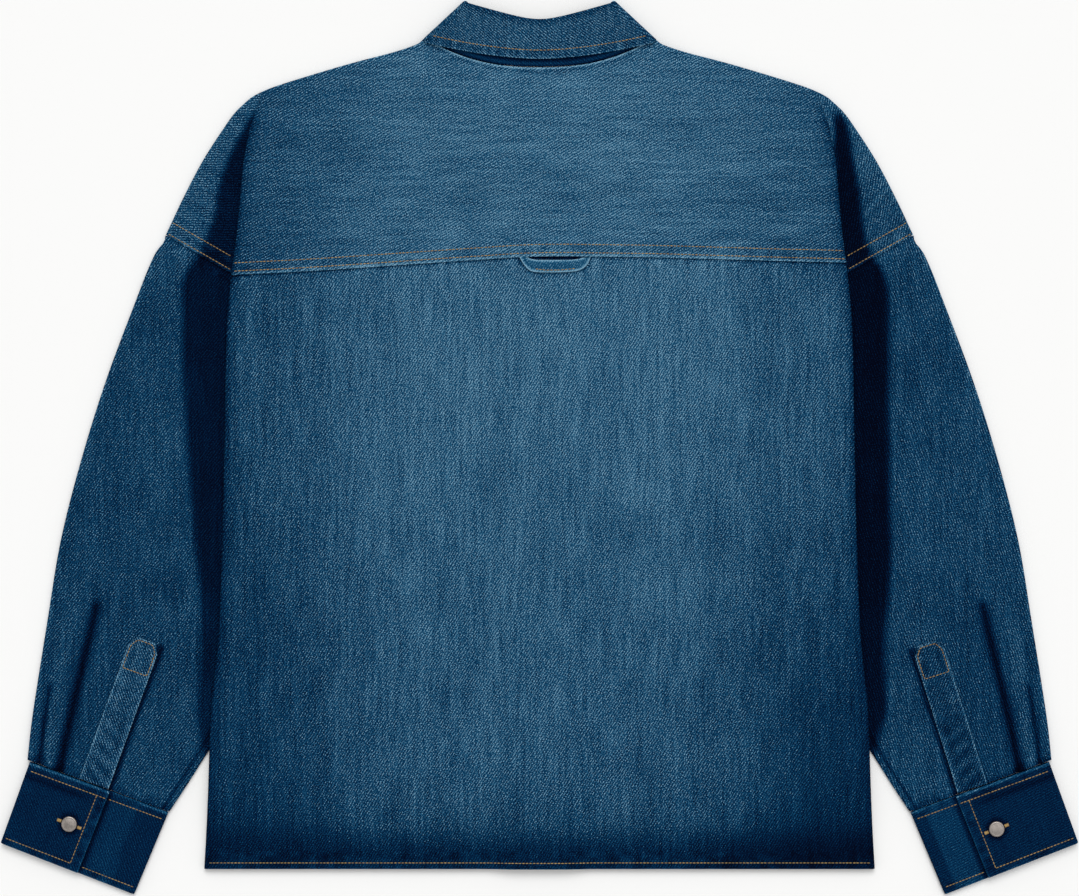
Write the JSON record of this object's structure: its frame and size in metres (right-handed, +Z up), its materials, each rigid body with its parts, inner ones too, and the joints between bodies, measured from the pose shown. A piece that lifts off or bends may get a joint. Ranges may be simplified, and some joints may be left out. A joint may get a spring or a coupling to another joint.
{
  "type": "denim shirt",
  "caption": "Oversized drop-shoulder denim shirt laid flat face down, arms brought down beside and partly under the body, collar folded, cuffs buttoned",
  "frame": {"origin": "middle of the whole shirt as it lies, at the level of the surface that it lies on", "axes": "+X towards the right sleeve, +Y towards the collar, +Z up from the surface, out of the shirt's back"},
  "size_m": [0.9684, 0.8028, 0.0107],
  "materials": {
    "denim_body": "washed mid-blue cotton twill, paler at the middle of the back, matt",
    "denim_sleeve": "washed dark-blue cotton twill, matt",
    "denim_trim": "dark-blue cotton twill in several layers, with ochre topstitching",
    "button_metal": "dull silver shank buttons"
  },
  "bodies": {
    "root": {"back_yoke": "denim_body", "back_panel": "denim_body", "front_left": "denim_body", "front_right": "denim_body", "buttonhole_band": "denim_trim", "button_band": "denim_trim", "sleeve_left": "denim_sleeve", "sleeve_right": "denim_sleeve", "sleeve_placket_left": "denim_sleeve", "sleeve_placket_right": "denim_sleeve", "cuff_left": "denim_trim", "cuff_right": "denim_trim", "collar_stand": "denim_trim", "collar_fall": "denim_trim", "locker_loop": "denim_body", "cuff_button_left": "button_metal", "cuff_button_right": "button_metal", "front_button_1": "button_metal", "front_button_2": "button_metal", "front_button_3": "button_metal", "front_button_4": "button_metal", "front_button_5": "button_metal", "front_button_6": "button_metal", "collar_button": "button_metal"}
  },
  "joints": []
}
